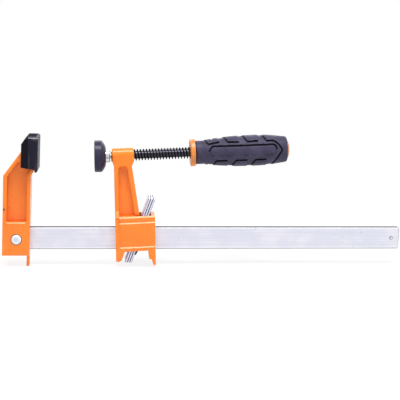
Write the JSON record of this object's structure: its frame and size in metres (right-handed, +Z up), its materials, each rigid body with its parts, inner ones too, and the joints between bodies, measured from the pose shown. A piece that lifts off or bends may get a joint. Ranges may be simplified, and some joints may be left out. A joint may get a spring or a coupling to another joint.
{
  "type": "bar clamp",
  "caption": "Bar clamp with a riveted fixed jaw, a sliding head locked by tilting clutch plates, and a clamping screw with a swivel pad and a turned grip handle.",
  "frame": {"origin": "centre of the fixed clamping face", "axes": "+X along the bar towards its free end, +Y towards the back, +Z up from the bar to the screw"},
  "size_m": [0.4569, 0.0392, 0.1509],
  "materials": {
    "bar_steel": "zinc plated, satin",
    "orange_paint": "glossy baked paint on a casting",
    "rivet_steel": "bright zinc",
    "black_cap": "satin moulded",
    "plate_steel": "zinc plated",
    "spring_steel": "black oxide",
    "black_screw": "black oxide, oiled",
    "bright_socket": "bright plated",
    "orange_core": "glossy moulded",
    "grip_rubber": "soft moulded"
  },
  "bodies": {
    "frame": {"bar": "bar_steel", "fixed_jaw": "orange_paint", "jaw_rivet": "rivet_steel", "fixed_pad": "black_cap"},
    "head": {"sliding_jaw": "orange_paint", "clutch_spring": "spring_steel"},
    "plate_1": {"clutch_plate_1": "plate_steel"},
    "plate_2": {"clutch_plate_2": "plate_steel"},
    "plate_3": {"clutch_plate_3": "plate_steel"},
    "tip": {"ball_tip": "bright_socket"},
    "spindle": {"screw": "black_screw", "handle_core": "orange_core", "handle_grip": "grip_rubber"},
    "swivel": {"swivel_socket": "bright_socket", "pad_cap": "black_cap"}
  },
  "joints": [
    {"name": "head_slide", "type": "slide", "parent": "frame", "child": "head", "axis": [1, 0, 0], "range_m": [0, 0.273]},
    {"name": "plate_tilt_1", "type": "hinge", "parent": "head", "child": "plate_1", "pos_m": [0.10637, 0, -0.0962], "axis": [0, 1, 0], "range_deg": [-4, 0], "stiffness_Nm_per_rad": 0.15, "springref_deg": 20.05, "deforming": ["clutch_spring"]},
    {"name": "plate_tilt_2", "type": "hinge", "parent": "head", "child": "plate_2", "pos_m": [0.109, 0, -0.0962], "axis": [0, 1, 0], "range_deg": [-4, 0]},
    {"name": "plate_tilt_3", "type": "hinge", "parent": "head", "child": "plate_3", "pos_m": [0.11163, 0, -0.0962], "axis": [0, 1, 0], "range_deg": [-4, 0]},
    {"name": "screw_travel", "type": "slide", "parent": "head", "child": "tip", "axis": [-0.9988, 0, -0.0488], "range_m": [0, 0.054]},
    {"name": "screw_turn", "type": "hinge", "parent": "tip", "child": "spindle", "pos_m": [0.07161, 0, -0.00308], "axis": [-0.9988, 0, -0.0488], "range_deg": [0, 5718]},
    {"name": "pad_tilt", "type": "hinge", "parent": "tip", "child": "swivel", "pos_m": [0.07161, 0, -0.00308], "axis": [0, 1, 0], "range_deg": [-8, 6]}
  ],
  "couplings": [
    {"joint": "plate_tilt_2", "follows": "plate_tilt_1", "ratio": 1},
    {"joint": "plate_tilt_3", "follows": "plate_tilt_1", "ratio": 1},
    {"joint": "screw_turn", "follows": "screw_travel", "rad_per_m": 1848}
  ]
}
